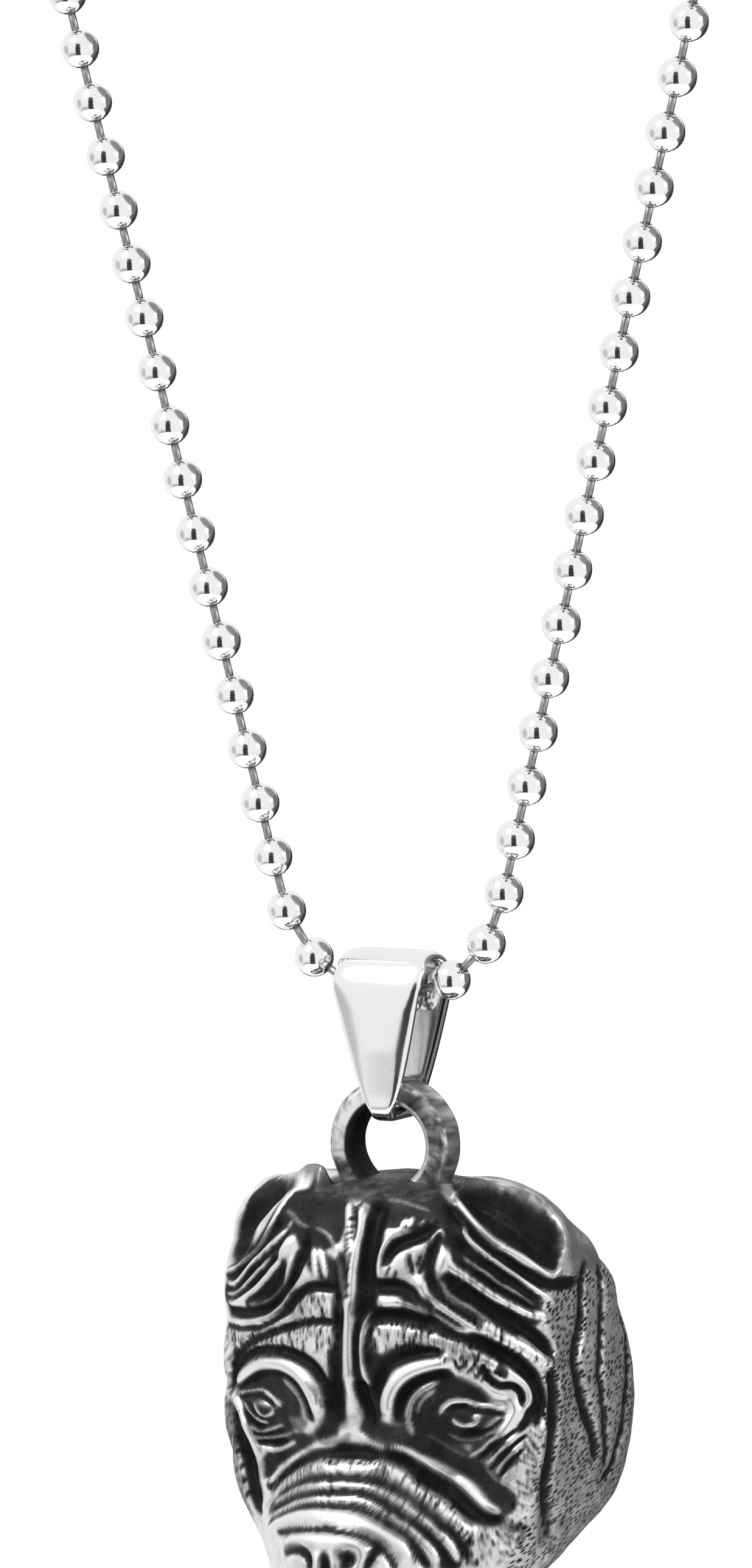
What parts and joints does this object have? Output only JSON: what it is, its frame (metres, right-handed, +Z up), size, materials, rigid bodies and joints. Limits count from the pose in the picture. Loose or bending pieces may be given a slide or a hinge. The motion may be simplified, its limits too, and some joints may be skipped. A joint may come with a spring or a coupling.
{
  "type": "dog head pendant necklace",
  "caption": "Cast steel pendant, a wrinkled dog's head with a hollow back, hanging from a pinched bail on a closed loop of ball chain.",
  "frame": {"origin": "the nape: the underside of the connector at the top of the loop, where the necklace lies on the neck", "axes": "+Z up; the dog faces -Y; +X to the right as seen from the front; the chain's loop lies in the XZ plane"},
  "size_m": [0.1132, 0.0212, 0.2982],
  "materials": {
    "cast_steel": "cast, blackened in the folds and rubbed bright on the ridges",
    "polished_strip": "mirror polish",
    "bright_beads": "mirror polish",
    "bright_sleeve": "mirror polish"
  },
  "bodies": {
    "chain": {"ball_chain": "bright_beads", "connector": "bright_sleeve"},
    "bail": {"bail": "polished_strip"},
    "head": {"head": "cast_steel"}
  },
  "joints": [
    {"name": "bail_swing", "type": "hinge", "parent": "chain", "child": "bail", "pos_m": [0, 0, -0.25516], "axis": [1, 0, 0], "range_deg": [-90, 90]},
    {"name": "head_swing", "type": "hinge", "parent": "bail", "child": "head", "pos_m": [0, 0, -0.26456], "axis": [0, 1, 0], "range_deg": [-45, 45]}
  ]
}
